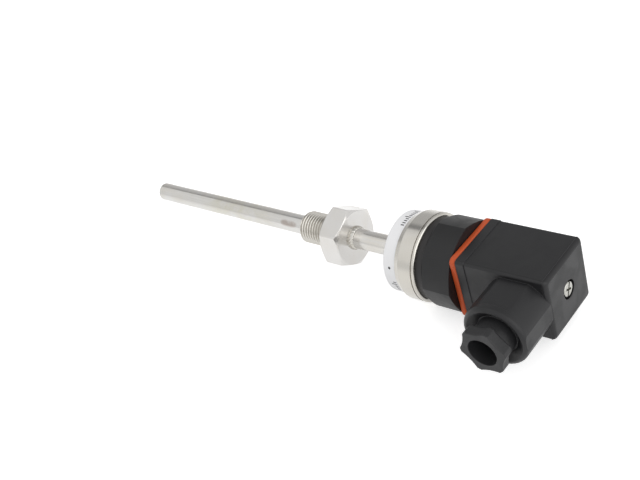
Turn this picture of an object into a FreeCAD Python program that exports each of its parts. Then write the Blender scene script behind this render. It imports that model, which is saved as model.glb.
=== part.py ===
"""Temperature sensor: probe tube, threaded stud, steel head and a square cable plug.

Millimetres. The origin is on the probe's axis at the hexagon's sealing face.
+X runs along the axis from the stud to the plug, +Z is the normal of the plug's
large flat side, and the cable gland points along -Y.
"""
import FreeCAD, Part
import math
import os

V = FreeCAD.Vector
AXIS_X = V(1, 0, 0)
AXIS_Y = V(0, 1, 0)
ORIGIN = V(0, 0, 0)

# Probe tube, closed at its tip, which runs on behind the hexagon as the neck
insertion_length = 107.0
tube_radius = 4.0
tube_wall = 0.75
tip_wall = 1.2
tip_edge_round = 0.6
neck_length = 25.1

# Threaded stud and hexagon, turned as one piece
thread_radius = 6.58
stud_length = 15.5
stud_chamfer = 1.0
hex_flats = 22.0
hex_thickness = 9.4
hex_face_radius = 10.9
hex_chamfer_angle = 30.0
hex_turn = 26.5

# Weld rings at the two ends of the neck
bead_height = 1.05
bead_length = 2.2
head_weld_height = 0.9

# Inside the probe
element_radius = 1.5
element_length = 6.0
element_end_round = 0.45
element_tip_gap = 0.4
insulator_radius = 3.0
lead_radius = 0.28
lead_offset = 0.85
lead_bore_gap = 0.15
insulator_element_gap = 1.0
insulator_head_setback = 4.0

# Steel head: a turned cup with a seat for the label, a bevelled shoulder and a fine groove
head_radius = 16.85
head_length = 14.7
head_wall = 1.5
head_floor = 2.2
head_rim_width = 1.4
head_edge_chamfer = 0.35
label_step = 1.35
label_width = 5.3
label_margin = 0.3
label_thickness = 0.25
shoulder_height = 0.95
shoulder_length = 2.1
groove_depth = 0.3
groove_width = 0.4
lip_width = 0.45
lip_chamfer = 0.2

# Board in the head, with a chip in the middle and four small parts round it
board_clearance = 1.3
board_thickness = 1.6
board_floor_gap = 3.0
chip_height = 1.3
chip_half_width = 2.6
small_part_length = 3.0
small_part_width = 2.6
small_part_circle_radius = 8.8

# Contact base: spigot, round collar and eight-sided flange
spigot_clearance = 0.05
spigot_length = 6.0
spigot_edge_chamfer = 0.4
spigot_relief_depth = 2.2
spigot_relief_radius = 5.7
collar_height = 2.5
neck_recess_depth = 0.9
neck_recess_height = 0.7
flange_overhang = 1.45
flange_crown = 0.68
flange_height = 11.3
flange_chamfer = 0.2
seal_section_radius = 0.75
seal_fit_gap = 0.01
seal_groove_play = 0.2
seal_groove_setback = 1.2

# Flat contact pins, three and an earth pin, on a circle round the axis
pin_circle_radius = 8.7
pin_width = 6.3
pin_thickness = 0.8
pin_reach = 9.6
pin_tip_chamfer = 1.2
pin_tail_width = 2.0
earth_pin_extra = 1.2

# Brass bush for the central screw
bush_radius = 2.6
bush_length = 7.0

# Profile gasket between base and plug
gasket_half_width = 13.15
gasket_thickness = 2.55
gasket_corner_round = 2.2
gasket_edge_round = 0.8
gasket_slot_gap = 0.5

# Plug housing, which narrows a little from its rim to its cap
plug_half_width = 12.75
plug_draft = 0.1
plug_height = 34.0
plug_wall = 1.6
plug_edge_round = 1.1
cap_bevel = 1.6
cap_wall = 2.0
rim_height = 3.3
rim_proud = 0.25
cavity_corner_round = 0.6
gasket_to_block_gap = 0.3

# Gland boss on the plug's side
boss_axis_height = 22.4
boss_radius = 11.9
boss_reach = 16.45
boss_lip_round = 1.7
boss_lip_length = 3.0
boss_flat_height = 10.7
boss_cap_step = 0.1
boss_root = 0.2
dish_radius = 10.3
dish_depth = 2.2
gland_bore_radius = 7.45
gland_shoulder = 2.4
gland_inner_radius = 5.6

# Gland nut, slip ring and rubber bush
nut_lobes = 6
nut_lobe_radius = 8.75
nut_valley_radius = 7.5
nut_lobe_half_angle = 5.5
nut_turn = 11.0
nut_reach = 7.4
nut_head_length = 4.3
nut_neck_radius = 7.1
nut_bore_radius = 5.3
nut_front_round = 0.3
nut_back_round = 0.6
running_gap = 0.05
ring_thickness = 0.8
gland_seal_length = 5.4
gland_seal_bore_radius = 3.6
gland_stack_gap = 0.1

# Central screw
screw_radius = 1.45
screw_bore_gap = 0.05
screw_hole_gap = 0.35
screw_head_radius = 2.75
screw_head_height = 2.0
screw_head_dome = 0.45
screw_tip_chamfer = 0.4
screw_recess_radius = 3.5
screw_face_depth = 0.1
screw_seal_thickness = 0.7
screw_grip_length = 5.0
screw_slot_turn = 65.0
drive_slot_width = 0.8
drive_cross_length = 3.2
drive_depth = 1.1
screw_pillar_wall = 1.5

# Terminal insert in the plug
block_clearance = 0.25
block_height = 15.0
block_corner_round = 0.8
mouth_depth = 0.6
socket_gap = 0.3
socket_wall = 0.5
socket_length = 9.8
clamp_height = 4.2
clamp_width = 7.2
clamp_depth = 3.6
pocket_gap = 0.1
clamp_screw_radius = 1.2
clamp_head_radius = 1.9
clamp_head_height = 1.3
clamp_screw_length = 3.6
clamp_slot_width = 0.6
clamp_slot_depth = 0.7

# Radii and half widths worked out from the sizes above
label_radius = head_radius - label_step
head_bore_radius = label_radius - head_wall
board_radius = head_bore_radius - board_clearance
spigot_radius = head_bore_radius - spigot_clearance
seal_groove_radius = head_bore_radius - 2 * (seal_section_radius + seal_fit_gap)
collar_radius = head_radius - head_rim_width
flange_corner_radius = collar_radius + flange_overhang
flange_side_radius = flange_corner_radius * math.cos(math.pi / 8) + flange_crown
tube_bore_radius = tube_radius - tube_wall
cavity_half_width = plug_half_width - plug_wall
socket_half_thickness = pin_thickness / 2 + socket_gap + socket_wall
socket_half_width = pin_width / 2 + socket_gap + socket_wall

# Stations along the axis, worked out from the sizes above
tip_x = -insertion_length
element_front = tip_x + tip_wall + element_tip_gap
element_back = element_front + element_length
hex_back = hex_thickness
head_front = hex_back + neck_length
head_back = head_front + head_length
head_floor_face = head_front + head_floor
board_front = head_floor_face + board_floor_gap
board_back = board_front + board_thickness
spigot_front = head_back - spigot_length
seal_groove_front = spigot_front + seal_groove_setback
seal_groove_back = seal_groove_front + 2 * seal_section_radius + seal_groove_play
collar_back = head_back + collar_height
flange_front = collar_back + neck_recess_height
base_face = flange_front + flange_height
plug_face = base_face + gasket_thickness
cap_face = plug_face + plug_height
cap_inner = cap_face - cap_wall
block_front = plug_face + gasket_to_block_gap
block_back = block_front + block_height
socket_front = block_front + mouth_depth
clamp_front = socket_front + socket_length + earth_pin_extra
clamp_back = clamp_front + clamp_height
head_top = cap_face - screw_face_depth
head_seat_x = head_top - screw_head_height
recess_floor_x = head_seat_x - screw_seal_thickness
screw_tip_x = base_face - screw_grip_length

# The gland's axis, and its stations along Y from the shoulder in the boss outwards
boss_axis_x = plug_face + boss_axis_height
boss_end = -(plug_half_width + boss_reach)
gland_shoulder_y = -(cavity_half_width + gland_shoulder)
gland_seal_out = gland_shoulder_y - gland_seal_length
ring_out = gland_seal_out - ring_thickness
nut_in = ring_out - gland_stack_gap
dish_floor_y = boss_end + dish_depth
nut_front = boss_end - nut_reach

PIN_ANGLES = (90.0, 270.0, 0.0)
EARTH_ANGLE = 180.0
ALL_PIN_ANGLES = PIN_ANGLES + (EARTH_ANGLE,)


def rod(x0, x1, radius, y=0.0, z=0.0):
    """Cylinder along X from x0 to x1."""
    return Part.makeCylinder(radius, x1 - x0, V(x0, y, z), AXIS_X)


def gland_rod(y0, y1, radius):
    """Cylinder along the gland's axis from y0 to y1."""
    return Part.makeCylinder(radius, y1 - y0, V(boss_axis_x, y0, 0), AXIS_Y)


def block(x0, x1, y0, y1, z0, z1):
    """Box between two corners."""
    return Part.makeBox(x1 - x0, y1 - y0, z1 - z0, V(x0, y0, z0))


def turned(profile):
    """Solid of revolution about the X axis from (x, radius) points."""
    points = [V(x, 0, radius) for x, radius in profile]
    face = Part.Face(Part.makePolygon(points + points[:1]))
    return face.revolve(ORIGIN, AXIS_X, 360)


def round_edges(shape, radius, chosen):
    """Fillet the edges for which chosen(edge) is true."""
    return shape.makeFillet(radius, [edge for edge in shape.Edges if chosen(edge)])


def lies_at_x(edge, x):
    """True for an edge whose whole length has one x."""
    box = edge.BoundBox
    return abs(box.XMin - x) < 1e-4 and abs(box.XMax - x) < 1e-4


def lies_at_y(edge, y):
    """True for an edge whose whole length has one y."""
    box = edge.BoundBox
    return abs(box.YMin - y) < 1e-4 and abs(box.YMax - y) < 1e-4


def square_bar(x0, x1, half0, half1, corner_round):
    """Square bar along X, of half width half0 at x0 and half1 at x1, with rounded long edges."""
    corners = ((-1, -1), (1, -1), (1, 1), (-1, 1))
    near = [V(x0, half0 * y, half0 * z) for y, z in corners]
    far = [V(x1, half1 * y, half1 * z) for y, z in corners]
    outlines = [near[::-1], far]
    for k in range(4):
        following = (k + 1) % 4
        outlines.append([near[k], near[following], far[following], far[k]])
    faces = [Part.Face(Part.makePolygon(outline + outline[:1])) for outline in outlines]
    bar = Part.Solid(Part.Shell(faces))
    return round_edges(bar, corner_round, lambda edge: edge.BoundBox.XLength > (x1 - x0) / 2)


def polar(x, radius, degrees):
    """Point at a radius and an angle from +Y towards +Z, at station x."""
    angle = math.radians(degrees)
    return V(x, radius * math.cos(angle), radius * math.sin(angle))


def at_pin(shape, degrees):
    """Turn a shape modelled on the +Z side about the X axis to a pin's angle."""
    turned_shape = shape.copy()
    turned_shape.rotate(ORIGIN, AXIS_X, degrees - 90.0)
    return turned_shape


def save(name, shape):
    """Write one node."""
    if isinstance(shape, (list, tuple)):
        shape = Part.makeCompound(list(shape))
    shape.exportStep(os.path.join("parts", name + ".step"))
    print(name, len(shape.Solids), round(shape.Volume, 1), shape.isValid())


def protection_tube():
    """Closed tube: probe, passage through the stud, neck, and its end in the head."""
    outer = rod(tip_x, head_floor_face, tube_radius)
    outer = round_edges(outer, tip_edge_round, lambda edge: lies_at_x(edge, tip_x))
    return outer.cut(rod(tip_x + tip_wall, head_floor_face, tube_bore_radius))


def process_connection():
    """Hexagon with its corners turned off at both faces, and the threaded stud."""
    corner_radius = hex_flats / 2 / math.cos(math.radians(30))
    corners = [polar(0, corner_radius, hex_turn + 60 * k) for k in range(6)]
    face = Part.Face(Part.makePolygon(corners + corners[:1]))
    prism = face.extrude(V(hex_thickness, 0, 0))
    clear_radius = corner_radius + 1
    drop = (clear_radius - hex_face_radius) * math.tan(math.radians(hex_chamfer_angle))
    envelope = turned([
        (0, 0),
        (0, hex_face_radius),
        (drop, clear_radius),
        (hex_back - drop, clear_radius),
        (hex_back, hex_face_radius),
        (hex_back, 0),
    ])
    stud = turned([
        (-stud_length, 0),
        (-stud_length, thread_radius - stud_chamfer),
        (-stud_length + stud_chamfer, thread_radius),
        (0, thread_radius),
        (0, 0),
    ])
    body = prism.common(envelope).fuse(stud)
    return body.cut(rod(-stud_length, hex_back, tube_radius)).removeSplitter()


def quarter_ring(x_face, height, reach):
    """Ring of weld on the tube: its height on the face at x_face, its reach along the tube."""
    top = V(x_face, 0, tube_radius + height)
    toe = V(x_face + reach, 0, tube_radius)
    bulge = math.sqrt(0.5)
    middle = V(x_face + reach * bulge, 0, tube_radius + height * bulge)
    root = V(x_face, 0, tube_radius)
    edges = [Part.Arc(top, middle, toe).toShape(), Part.makeLine(toe, root), Part.makeLine(root, top)]
    return Part.Face(Part.Wire(edges)).revolve(ORIGIN, AXIS_X, 360)


def weld_bead():
    """Rounded ring of weld on the hexagon's back face, round the tube."""
    return quarter_ring(hex_back, bead_height, bead_length)


def housing_weld():
    """Small ring of weld between the neck and the head's front face."""
    return quarter_ring(head_front, head_weld_height, -head_weld_height)


def lead_places():
    """The four leads' places round the axis, as (y, z)."""
    places = []
    for quarter in range(4):
        point = polar(0, lead_offset * math.sqrt(2), 45 + 90 * quarter)
        places.append((point.y, point.z))
    return places


def sensing_element():
    """Resistance element: a small ceramic rod with rounded ends."""
    body = rod(element_front, element_back, element_radius)
    return round_edges(body, element_end_round, lambda edge: isinstance(edge.Curve, Part.Circle))


def insulator():
    """Ceramic rod with four bores, which keeps the leads apart in the tube."""
    start = element_back + insulator_element_gap
    end = head_front - insulator_head_setback
    body = rod(start, end, insulator_radius)
    for y, z in lead_places():
        body = body.cut(rod(start, end, lead_radius + lead_bore_gap, y, z))
    return body


def lead_wires():
    """Leads from the element to the front of the board."""
    return [rod(element_back, board_front, lead_radius, y, z) for y, z in lead_places()]


def housing():
    """Turned steel cup with a seat for the label, a bevelled shoulder and a fine groove."""
    label_seat_radius = label_radius - label_thickness
    label_start = head_front + label_margin
    label_end = label_start + label_width
    lip_front = head_back - lip_width
    groove_front = lip_front - groove_width
    cup = turned([
        (head_front, 0),
        (head_front, label_radius - head_edge_chamfer),
        (head_front + label_margin, label_radius),
        (label_start, label_seat_radius),
        (label_end, label_seat_radius),
        (label_end, head_radius - shoulder_height),
        (label_end + shoulder_length, head_radius),
        (groove_front, head_radius),
        (groove_front, head_radius - groove_depth),
        (lip_front, head_radius - groove_depth),
        (lip_front, head_radius),
        (head_back - lip_chamfer, head_radius),
        (head_back, head_radius - lip_chamfer),
        (head_back, head_bore_radius),
        (head_floor_face, head_bore_radius),
        (head_floor_face, 0),
    ])
    return cup.cut(rod(head_front, head_floor_face, tube_radius))


def label_band():
    """Thin plain band in the head's recess."""
    start = head_front + label_margin
    end = start + label_width
    return rod(start, end, label_radius).cut(rod(start, end, label_radius - label_thickness))


def circuit_board():
    """Round board; the leads end on its front face and the pins on its back face."""
    return rod(board_front, board_back, board_radius)


def board_components():
    """A chip and four small parts on the board's back face, clear of the pins' tails."""
    top = board_back + chip_height
    chip = block(board_back, top, -chip_half_width, chip_half_width, -chip_half_width, chip_half_width)
    radial = small_part_width / 2
    across = small_part_length / 2
    low = small_part_circle_radius - radial
    high = small_part_circle_radius + radial
    small_part = block(board_back, top, -across, across, low, high)
    return [chip] + [at_pin(small_part, angle + 45) for angle in ALL_PIN_ANGLES]


def flange_outline(x):
    """Eight-sided outline with slightly crowned sides, as a face at station x."""
    edges = []
    for side in range(8):
        start = polar(x, flange_corner_radius, 45 * side)
        middle = polar(x, flange_side_radius, 45 * side + 22.5)
        end = polar(x, flange_corner_radius, 45 * side + 45)
        edges.append(Part.Arc(start, middle, end).toShape())
    return Part.Face(Part.Wire(edges))


def pin_slots(x0, x1, gap):
    """Slots for the four flat pins, each gap wider than its pin all round."""
    half_width = pin_width / 2 + gap
    half_thickness = pin_thickness / 2 + gap
    low = pin_circle_radius - half_thickness
    high = pin_circle_radius + half_thickness
    slot = block(x0, x1, -half_width, half_width, low, high)
    return [at_pin(slot, angle) for angle in ALL_PIN_ANGLES]


def contact_base():
    """Black moulded base: spigot with its seal groove, collar and flange."""
    body = turned([
        (spigot_front, 0),
        (spigot_front, spigot_radius - spigot_edge_chamfer),
        (spigot_front + spigot_edge_chamfer, spigot_radius),
        (seal_groove_front, spigot_radius),
        (seal_groove_front, seal_groove_radius),
        (seal_groove_back, seal_groove_radius),
        (seal_groove_back, spigot_radius),
        (head_back, spigot_radius),
        (head_back, collar_radius),
        (collar_back, collar_radius),
        (collar_back, collar_radius - neck_recess_depth),
        (flange_front, collar_radius - neck_recess_depth),
        (flange_front, 0),
    ])
    flange = flange_outline(flange_front).extrude(V(flange_height, 0, 0))
    cone_reach = 1.0
    envelope = turned([
        (flange_front, 0),
        (flange_front, flange_corner_radius - flange_chamfer),
        (flange_front + flange_chamfer + cone_reach, flange_corner_radius + cone_reach),
        (base_face, flange_corner_radius + cone_reach),
        (base_face, 0),
    ])
    body = body.fuse(flange.common(envelope))
    for slot in pin_slots(spigot_front, base_face, 0.0):
        body = body.cut(slot)
    body = body.cut(rod(base_face - bush_length, base_face, bush_radius))
    relief = rod(spigot_front, spigot_front + spigot_relief_depth, spigot_relief_radius)
    return body.cut(relief).removeSplitter()


def housing_seal():
    """Ring seal in the spigot's groove, against the head's bore."""
    centre_radius = seal_groove_radius + seal_fit_gap + seal_section_radius
    centre_x = (seal_groove_front + seal_groove_back) / 2
    return Part.makeTorus(centre_radius, seal_section_radius, V(centre_x, 0, 0), AXIS_X)


def flat_pin(reach):
    """Flat pin on the +Z side with a chamfered tip and a narrow tail down to the board."""
    half_width = pin_width / 2
    half_tail = pin_tail_width / 2
    tip = base_face + reach
    outline = [
        V(spigot_front, -half_width, 0),
        V(tip - pin_tip_chamfer, -half_width, 0),
        V(tip, -half_width + pin_tip_chamfer, 0),
        V(tip, half_width - pin_tip_chamfer, 0),
        V(tip - pin_tip_chamfer, half_width, 0),
        V(spigot_front, half_width, 0),
        V(spigot_front, half_tail, 0),
        V(board_back, half_tail, 0),
        V(board_back, -half_tail, 0),
        V(spigot_front, -half_tail, 0),
    ]
    face = Part.Face(Part.makePolygon(outline + outline[:1]))
    face.translate(V(0, 0, pin_circle_radius - pin_thickness / 2))
    return face.extrude(V(0, 0, pin_thickness))


def contact_pins():
    """The three signal pins."""
    return [at_pin(flat_pin(pin_reach), angle) for angle in PIN_ANGLES]


def earth_pin():
    """The earth pin, a little longer so that it meets first."""
    return at_pin(flat_pin(pin_reach + earth_pin_extra), EARTH_ANGLE)


def threaded_insert():
    """Brass bush in the base, for the central screw."""
    bush = rod(base_face - bush_length, base_face, bush_radius)
    return bush.cut(rod(base_face - bush_length, base_face, screw_radius + screw_bore_gap))


def flat_gasket():
    """Square profile gasket with rounded edges, slots for the pins and a hole for the screw."""
    plate = square_bar(base_face, plug_face, gasket_half_width, gasket_half_width, gasket_corner_round)
    plate = round_edges(plate, gasket_edge_round, lambda edge: lies_at_x(edge, base_face))
    plate = round_edges(plate, gasket_edge_round, lambda edge: lies_at_x(edge, plug_face))
    for slot in pin_slots(base_face, plug_face, gasket_slot_gap):
        plate = plate.cut(slot)
    return plate.cut(rod(base_face, plug_face, screw_radius + screw_hole_gap))


def gland_boss():
    """Round boss for the gland: three flats, a rounded lip and a shallow dish round the bore."""
    boss = gland_rod(boss_end, boss_root - cavity_half_width, boss_radius)
    boss = round_edges(boss, boss_lip_round, lambda edge: lies_at_y(edge, boss_end))
    flat_start = boss_end + boss_lip_length
    flat_stop = plug_draft - plug_half_width
    reach = boss_radius + 1
    x0 = boss_axis_x - reach
    x1 = boss_axis_x + reach
    boss = boss.cut(block(x0, x1, flat_start, flat_stop, boss_flat_height, reach))
    boss = boss.cut(block(x0, x1, flat_start, flat_stop, -reach, -boss_flat_height))
    boss = boss.cut(block(cap_face - boss_cap_step, cap_face + reach, boss_end, boss_root, -reach, reach))
    dish = Part.makeCone(dish_radius, gland_bore_radius, dish_depth, V(boss_axis_x, boss_end, 0), AXIS_Y)
    return boss.cut(dish)


def plug_housing():
    """Square moulded housing with a rim, a cap with the screw's recess, and the gland boss."""
    cap_half_width = plug_half_width - plug_draft
    bevel_start = cap_face - cap_bevel
    bevel_half_width = cap_half_width - cap_bevel
    shell = square_bar(plug_face, bevel_start, plug_half_width, cap_half_width, plug_edge_round)
    shell = shell.fuse(square_bar(bevel_start, cap_face, cap_half_width, bevel_half_width, plug_edge_round))
    rim_half_width = plug_half_width + rim_proud
    rim_round = plug_edge_round + rim_proud
    rim = square_bar(plug_face, plug_face + rim_height, rim_half_width, rim_half_width, rim_round)
    shell = shell.fuse(rim).fuse(gland_boss())
    cavity = square_bar(plug_face, cap_inner, cavity_half_width, cavity_half_width, cavity_corner_round)
    shell = shell.cut(cavity)
    pillar_radius = screw_recess_radius + screw_pillar_wall
    pillar_front = recess_floor_x - screw_pillar_wall
    shell = shell.fuse(rod(pillar_front, (cap_inner + cap_face) / 2, pillar_radius))
    shell = shell.cut(rod(recess_floor_x, cap_face, screw_recess_radius))
    shell = shell.cut(rod(pillar_front, recess_floor_x, screw_radius + screw_hole_gap))
    shell = shell.cut(gland_rod(boss_end, gland_shoulder_y, gland_bore_radius))
    shell = shell.cut(gland_rod(boss_end, 1 - cavity_half_width, gland_inner_radius))
    return shell.removeSplitter()


def gland_seal():
    """Rubber bush that grips the cable."""
    body = gland_rod(gland_seal_out, gland_shoulder_y, gland_bore_radius - running_gap)
    return body.cut(gland_rod(gland_seal_out, gland_shoulder_y, gland_seal_bore_radius))


def gland_washer():
    """Slip ring between the nut and the rubber bush."""
    body = gland_rod(ring_out, gland_seal_out, gland_bore_radius - running_gap)
    return body.cut(gland_rod(ring_out, gland_seal_out, nut_bore_radius))


def lobed_outline(y):
    """Six lobes with narrow lands and concave flutes between them, as a face at y."""
    def point(radius, degrees):
        angle = math.radians(degrees)
        return V(boss_axis_x + radius * math.cos(angle), y, radius * math.sin(angle))

    edges = []
    step = 360.0 / nut_lobes
    for lobe in range(nut_lobes):
        centre = nut_turn + step * lobe
        land_start = point(nut_lobe_radius, centre - nut_lobe_half_angle)
        land_middle = point(nut_lobe_radius, centre)
        land_end = point(nut_lobe_radius, centre + nut_lobe_half_angle)
        valley = point(nut_valley_radius, centre + step / 2)
        next_land = point(nut_lobe_radius, centre + step - nut_lobe_half_angle)
        edges.append(Part.Arc(land_start, land_middle, land_end).toShape())
        edges.append(Part.Arc(land_end, valley, next_land).toShape())
    return Part.Face(Part.Wire(edges))


def gland_nut():
    """Lobed nut: a head for the fingers, a neck, and a round skirt that screws into the boss."""
    head_back_y = nut_front + nut_head_length
    head = lobed_outline(nut_front).extrude(V(0, nut_head_length, 0))
    head = round_edges(head, nut_front_round, lambda edge: lies_at_y(edge, nut_front))
    head = round_edges(head, nut_back_round, lambda edge: lies_at_y(edge, head_back_y))
    neck = gland_rod(head_back_y, dish_floor_y, nut_neck_radius)
    skirt = gland_rod(dish_floor_y, nut_in, gland_bore_radius - running_gap)
    body = head.fuse(neck).fuse(skirt)
    return body.cut(gland_rod(nut_front, nut_in, nut_bore_radius)).removeSplitter()


def retaining_screw():
    """Central screw with a low domed head, a slot and a cross."""
    head = rod(head_seat_x, head_top, screw_head_radius)
    head = round_edges(head, screw_head_dome, lambda edge: lies_at_x(edge, head_top))
    shank = turned([
        (screw_tip_x, 0),
        (screw_tip_x, screw_radius - screw_tip_chamfer),
        (screw_tip_x + screw_tip_chamfer, screw_radius),
        (head_seat_x, screw_radius),
        (head_seat_x, 0),
    ])
    floor = head_top - drive_depth
    reach = screw_head_radius + 1
    half = drive_slot_width / 2
    slot = block(floor, head_top, -reach, reach, -half, half)
    cross = block(floor, head_top, -half, half, -drive_cross_length / 2, drive_cross_length / 2)
    screw = head.fuse(shank).cut(slot.fuse(cross))
    screw.rotate(ORIGIN, AXIS_X, screw_slot_turn)
    return screw.removeSplitter()


def screw_seal():
    """Ring under the screw's head."""
    ring = rod(recess_floor_x, head_seat_x, screw_head_radius)
    return ring.cut(rod(recess_floor_x, head_seat_x, screw_radius + running_gap))


def one_socket():
    """Socket on the +Z side: a folded box round the pin, with a clamp block on its end."""
    low = pin_circle_radius - socket_half_thickness
    high = pin_circle_radius + socket_half_thickness
    box = block(socket_front, clamp_front, -socket_half_width, socket_half_width, low, high)
    hollow_half = socket_half_width - socket_wall
    hollow_back = clamp_front - socket_wall
    hollow_low = low + socket_wall
    hollow_high = high - socket_wall
    hollow = block(socket_front, hollow_back, -hollow_half, hollow_half, hollow_low, hollow_high)
    clamp_half = clamp_width / 2
    clamp = block(clamp_front, clamp_back, -clamp_half, clamp_half, high - clamp_depth, high)
    screw_z = high - clamp_depth / 2
    screw_hole = rod(clamp_front, clamp_back, clamp_screw_radius + running_gap, 0, screw_z)
    return box.cut(hollow).fuse(clamp.cut(screw_hole)).removeSplitter()


def socket_contacts():
    """Three sockets and the earth socket."""
    return [at_pin(one_socket(), angle) for angle in ALL_PIN_ANGLES]


def clamp_screw():
    """Wire clamping screw of the socket on the +Z side."""
    screw_z = pin_circle_radius + socket_half_thickness - clamp_depth / 2
    top = clamp_back + clamp_head_height
    shank = rod(clamp_back - clamp_screw_length, clamp_back, clamp_screw_radius, 0, screw_z)
    head = rod(clamp_back, top, clamp_head_radius, 0, screw_z)
    half_slot = clamp_slot_width / 2
    reach = clamp_head_radius + 1
    slot = block(top - clamp_slot_depth, top, -half_slot, half_slot, screw_z - reach, screw_z + reach)
    return shank.fuse(head).cut(slot)


def terminal_screws():
    """The four clamping screws."""
    return [at_pin(clamp_screw(), angle) for angle in ALL_PIN_ANGLES]


def terminal_block():
    """Insert that carries the sockets and lets the central screw pass."""
    half = cavity_half_width - block_clearance
    body = square_bar(block_front, block_back, half, half, block_corner_round)
    body = body.cut(rod(block_front, block_back, screw_radius + screw_hole_gap))
    mouth_half = pin_width / 2 + socket_gap
    mouth_gap = pin_thickness / 2 + socket_gap
    mouth_low = pin_circle_radius - mouth_gap
    mouth_high = pin_circle_radius + mouth_gap
    pocket_half = socket_half_width + pocket_gap
    pocket_low = pin_circle_radius - socket_half_thickness - pocket_gap
    pocket_high = pin_circle_radius + socket_half_thickness + pocket_gap
    clamp_half = clamp_width / 2 + pocket_gap
    clamp_low = pocket_high - clamp_depth - 2 * pocket_gap
    cutters = [
        block(block_front, socket_front, -mouth_half, mouth_half, mouth_low, mouth_high),
        block(socket_front, clamp_front, -pocket_half, pocket_half, pocket_low, pocket_high),
        block(clamp_front, block_back, -clamp_half, clamp_half, clamp_low, half + 1),
    ]
    for angle in ALL_PIN_ANGLES:
        for cutter in cutters:
            body = body.cut(at_pin(cutter, angle))
    return body.removeSplitter()


os.makedirs("parts", exist_ok=True)
save("protection_tube", protection_tube())
save("process_connection", process_connection())
save("weld_bead", weld_bead())
save("housing_weld", housing_weld())
save("sensing_element", sensing_element())
save("insulator", insulator())
save("lead_wires", lead_wires())
save("housing", housing())
save("label_band", label_band())
save("circuit_board", circuit_board())
save("board_components", board_components())
save("contact_base", contact_base())
save("housing_seal", housing_seal())
save("contact_pins", contact_pins())
save("earth_pin", earth_pin())
save("threaded_insert", threaded_insert())
save("flat_gasket", flat_gasket())
save("plug_housing", plug_housing())
save("terminal_block", terminal_block())
save("socket_contacts", socket_contacts())
save("terminal_screws", terminal_screws())
save("gland_seal", gland_seal())
save("gland_washer", gland_washer())
save("gland_nut", gland_nut())
save("retaining_screw", retaining_screw())
save("screw_seal", screw_seal())
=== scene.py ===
# %% [markdown]
# # A temperature sensor with a square cable plug
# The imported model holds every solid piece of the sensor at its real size: a steel probe, a stud with a
# hexagon, a turned head, a black contact base, an orange gasket and a moulded plug with its gland nut.
# This lesson dresses that model. Solids whose shape is right only get a finish. Four things are too
# fine for the solids and are made here as meshes: the thread on the stud, the rolled lip of the head,
# the rippled weld rings and the rounded end of the plug. Everything is in metres, in the frame of the
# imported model.

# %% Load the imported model
import math
import random

import bpy
from mathutils import Matrix, Vector


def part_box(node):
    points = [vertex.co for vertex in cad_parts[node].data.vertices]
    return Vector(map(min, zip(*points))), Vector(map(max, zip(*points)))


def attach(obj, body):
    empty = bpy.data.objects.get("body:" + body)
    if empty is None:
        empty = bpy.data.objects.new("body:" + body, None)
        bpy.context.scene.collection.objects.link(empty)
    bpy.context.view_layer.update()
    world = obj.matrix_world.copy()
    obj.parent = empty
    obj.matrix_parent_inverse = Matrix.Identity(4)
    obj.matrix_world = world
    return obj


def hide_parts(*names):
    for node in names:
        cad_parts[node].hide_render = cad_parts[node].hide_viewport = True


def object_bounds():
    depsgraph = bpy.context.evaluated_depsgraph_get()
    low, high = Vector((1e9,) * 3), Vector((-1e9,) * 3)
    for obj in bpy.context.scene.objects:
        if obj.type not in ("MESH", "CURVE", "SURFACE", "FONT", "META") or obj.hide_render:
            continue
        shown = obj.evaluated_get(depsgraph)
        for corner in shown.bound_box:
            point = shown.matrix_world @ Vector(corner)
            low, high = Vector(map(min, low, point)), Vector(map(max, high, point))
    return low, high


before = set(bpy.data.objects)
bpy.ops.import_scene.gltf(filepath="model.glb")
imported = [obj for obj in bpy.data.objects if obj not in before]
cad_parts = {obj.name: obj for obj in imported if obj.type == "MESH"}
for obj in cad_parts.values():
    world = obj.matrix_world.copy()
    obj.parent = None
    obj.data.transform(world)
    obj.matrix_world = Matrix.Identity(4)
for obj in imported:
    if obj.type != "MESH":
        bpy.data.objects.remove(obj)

cad_low, cad_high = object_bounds()
print("solid box in mm:", [round(1000 * v, 1) for v in (*cad_low, *cad_high)])

# %% [markdown]
# ## The camera
# The photograph was taken from above the plug's side, with a long lens and a little roll. A camera
# could be turned by three angles, but a point it stands at and a point it looks at are easier to read.
# The roll is then a turn about the line between them. The two points were found by fitting the known
# sizes of the solids to the picture.

# %% Camera
camera_place = Vector((0.23175, -0.20278, 0.20705))
camera_aim = Vector((-0.00472, -0.00606, 0.0))
camera_roll = math.radians(19.68)
sensor_width = 36.0
lens_length = 52.45
sight_range = (0.01, 20.0)

camera_data = bpy.data.cameras.new("camera")
camera_data.sensor_width = sensor_width
camera_data.lens = lens_length
camera_data.clip_start = sight_range[0]
camera_data.clip_end = sight_range[1]
camera = bpy.data.objects.new("camera", camera_data)
level_turn = (camera_aim - camera_place).to_track_quat("-Z", "Y").to_matrix().to_4x4()
camera.matrix_world = Matrix.Translation(camera_place) @ level_turn @ Matrix.Rotation(-camera_roll, 4, "Z")
bpy.context.scene.collection.objects.link(camera)
bpy.context.scene.camera = camera
print("camera distance in mm:", round(1000 * (camera_aim - camera_place).length, 1))

# %% [markdown]
# ## Small tools for materials
# A material in Blender is a tree of nodes. They can be added by hand in the shader editor, and a
# script does the same in a few lines for each node. These short functions save most of those lines:
# they add a node with its settings, do a sum, and turn a value into a soft step from 0 to 1.

# %% Nodes, sums and steps
def add_node(tree, kind, **settings):
    """A new node in a tree, with its properties set."""
    node = tree.nodes.new(kind)
    for name, value in settings.items():
        setattr(node, name, value)
    return node


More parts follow.
